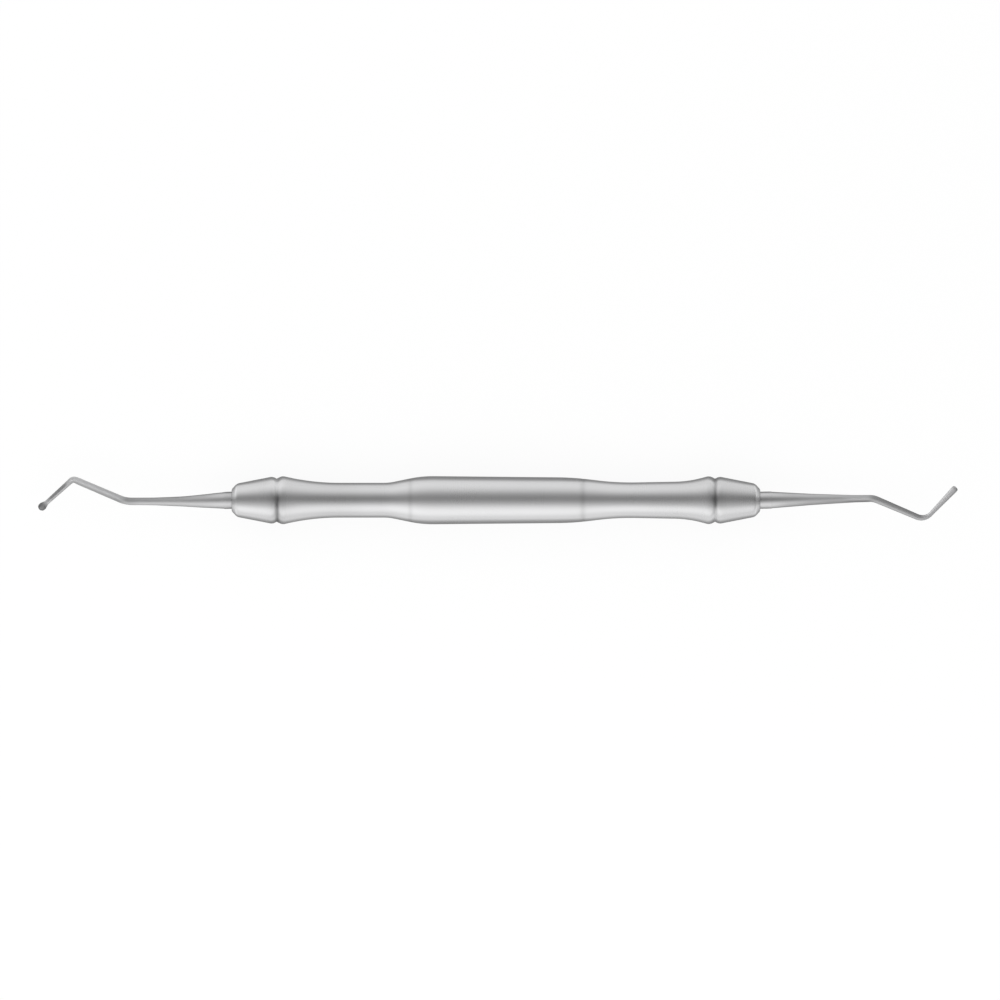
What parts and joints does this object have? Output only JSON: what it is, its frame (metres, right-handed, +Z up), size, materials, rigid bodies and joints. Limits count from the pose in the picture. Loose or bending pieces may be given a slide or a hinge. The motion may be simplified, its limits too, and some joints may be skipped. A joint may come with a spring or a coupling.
{
  "type": "ball plugger",
  "caption": "Double-ended dental plugger: turned grip handle with grooved cone noses, a bent shank with a ball tip at one end and a round-ended plugger at the other.",
  "frame": {"origin": "on the surface that the instrument lies on, under the middle of its handle", "axes": "+X along the handle from the ball end to the plugger end, +Z up from the surface; both working ends are bent in the horizontal plane, the ball's bend towards +Y and the plugger's towards -Y"},
  "size_m": [0.1749, 0.0092, 0.0092],
  "materials": {
    "handle_steel": "satin",
    "tip_steel": "fine satin"
  },
  "bodies": {
    "root": {"handle": "handle_steel", "ball_end": "tip_steel", "plugger_end": "tip_steel"}
  },
  "joints": []
}
